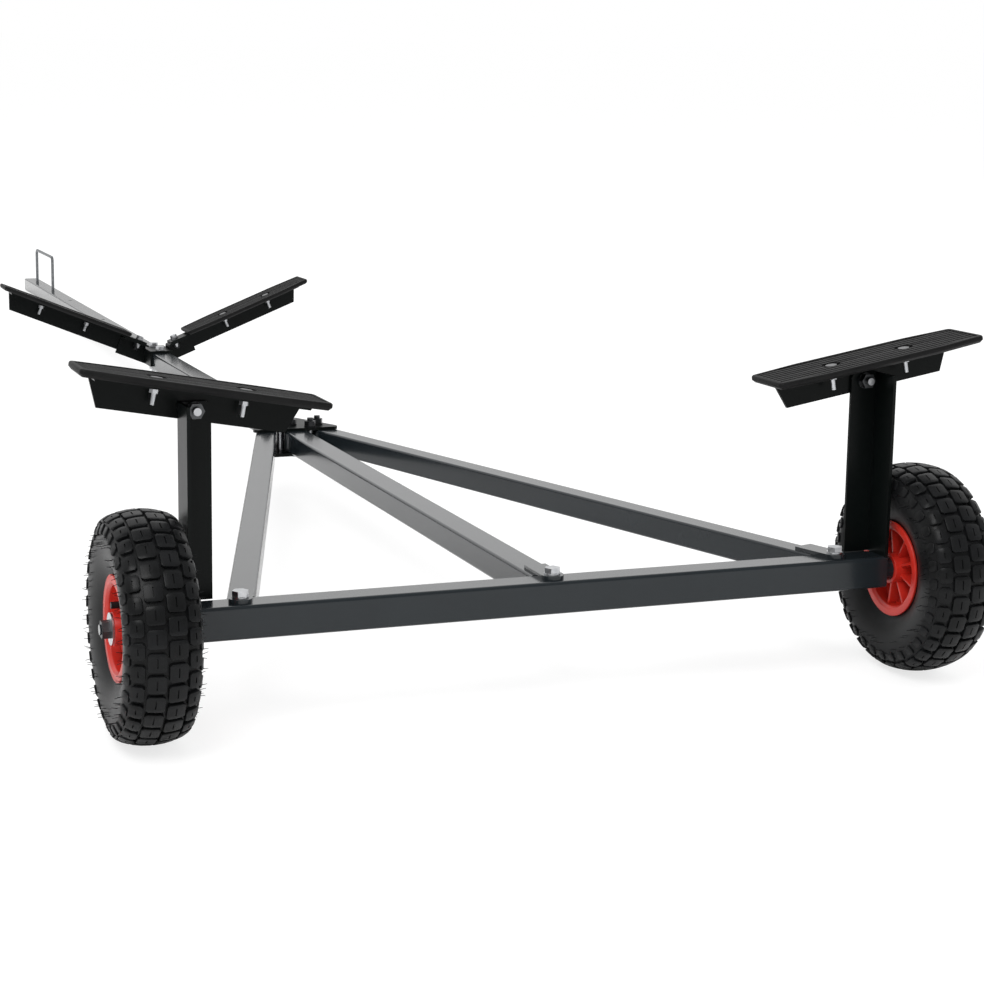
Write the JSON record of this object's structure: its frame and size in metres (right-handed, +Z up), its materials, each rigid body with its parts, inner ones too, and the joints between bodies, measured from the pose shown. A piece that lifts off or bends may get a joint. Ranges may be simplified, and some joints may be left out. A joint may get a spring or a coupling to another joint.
{
  "type": "boat launching trolley",
  "caption": "Hand launching trailer for a small boat: cross beam on pneumatic wheels, tilting rear bunks, braced spine, bow cradle and a drawbar with a tow hoop.",
  "frame": {"origin": "on the floor, under the middle of the trailer's outline as it parks", "axes": "+X to the trailer's right, +Y forward towards the tow hoop, +Z up"},
  "size_m": [1.139, 4.0322, 0.4318],
  "materials": {
    "grey_coat": "satin dark grey powder coat",
    "black_coat": "satin black powder coat",
    "zinc": "bright zinc plated",
    "pad": "ribbed matt black moulding",
    "tyre": "matt black",
    "red_rim": "semi-gloss red moulded",
    "rubber": "matt black"
  },
  "bodies": {
    "root": {"axle_left": "grey_coat", "axle_right": "grey_coat", "beam_bolts": "zinc", "bow_bracket": "black_coat", "bow_bracket_bolts": "zinc", "bow_pad_bolts_left": "zinc", "bow_pad_bolts_right": "zinc", "bow_pad_left": "pad", "bow_pad_right": "pad", "bow_rail_left": "black_coat", "bow_rail_right": "black_coat", "brace_left": "grey_coat", "brace_right": "grey_coat", "cross_beam": "grey_coat", "drawbar": "grey_coat", "hub_bolts": "zinc", "hub_plate_bottom": "grey_coat", "hub_plate_top": "grey_coat", "mid_tube": "grey_coat", "pivot_bolt_left": "zinc", "pivot_bolt_right": "zinc", "post_left": "grey_coat", "post_right": "grey_coat", "tow_hoop": "zinc", "wheel_nut_left": "zinc", "wheel_nut_right": "zinc", "wheel_washer_left": "zinc", "wheel_washer_right": "zinc"},
    "wheel_left": {"rim_left": "red_rim", "tyre_left": "tyre", "valve_left": "rubber"},
    "wheel_right": {"rim_right": "red_rim", "tyre_right": "tyre", "valve_right": "rubber"},
    "bunk_left": {"bunk_pad_bolts_left": "zinc", "bunk_pad_left": "pad", "bunk_rail_left": "black_coat"},
    "bunk_right": {"bunk_pad_bolts_right": "zinc", "bunk_pad_right": "pad", "bunk_rail_right": "black_coat"}
  },
  "joints": [
    {"name": "wheel_left_spin", "type": "hinge", "parent": "root", "child": "wheel_left", "pos_m": [-0.498, -1.88265, 0.1335], "axis": [-1, 0, 0], "continuous": true},
    {"name": "wheel_right_spin", "type": "hinge", "parent": "root", "child": "wheel_right", "pos_m": [0.498, -1.88265, 0.1335], "axis": [1, 0, 0], "continuous": true},
    {"name": "bunk_left_tilt", "type": "hinge", "parent": "root", "child": "bunk_left", "pos_m": [-0.431, -1.84702, 0.37202], "axis": [0, 0.9995, -0.0306], "range_deg": [-30, 20]},
    {"name": "bunk_right_tilt", "type": "hinge", "parent": "root", "child": "bunk_right", "pos_m": [0.431, -1.84702, 0.37202], "axis": [0, -0.9995, 0.0306], "range_deg": [-30, 20]}
  ]
}
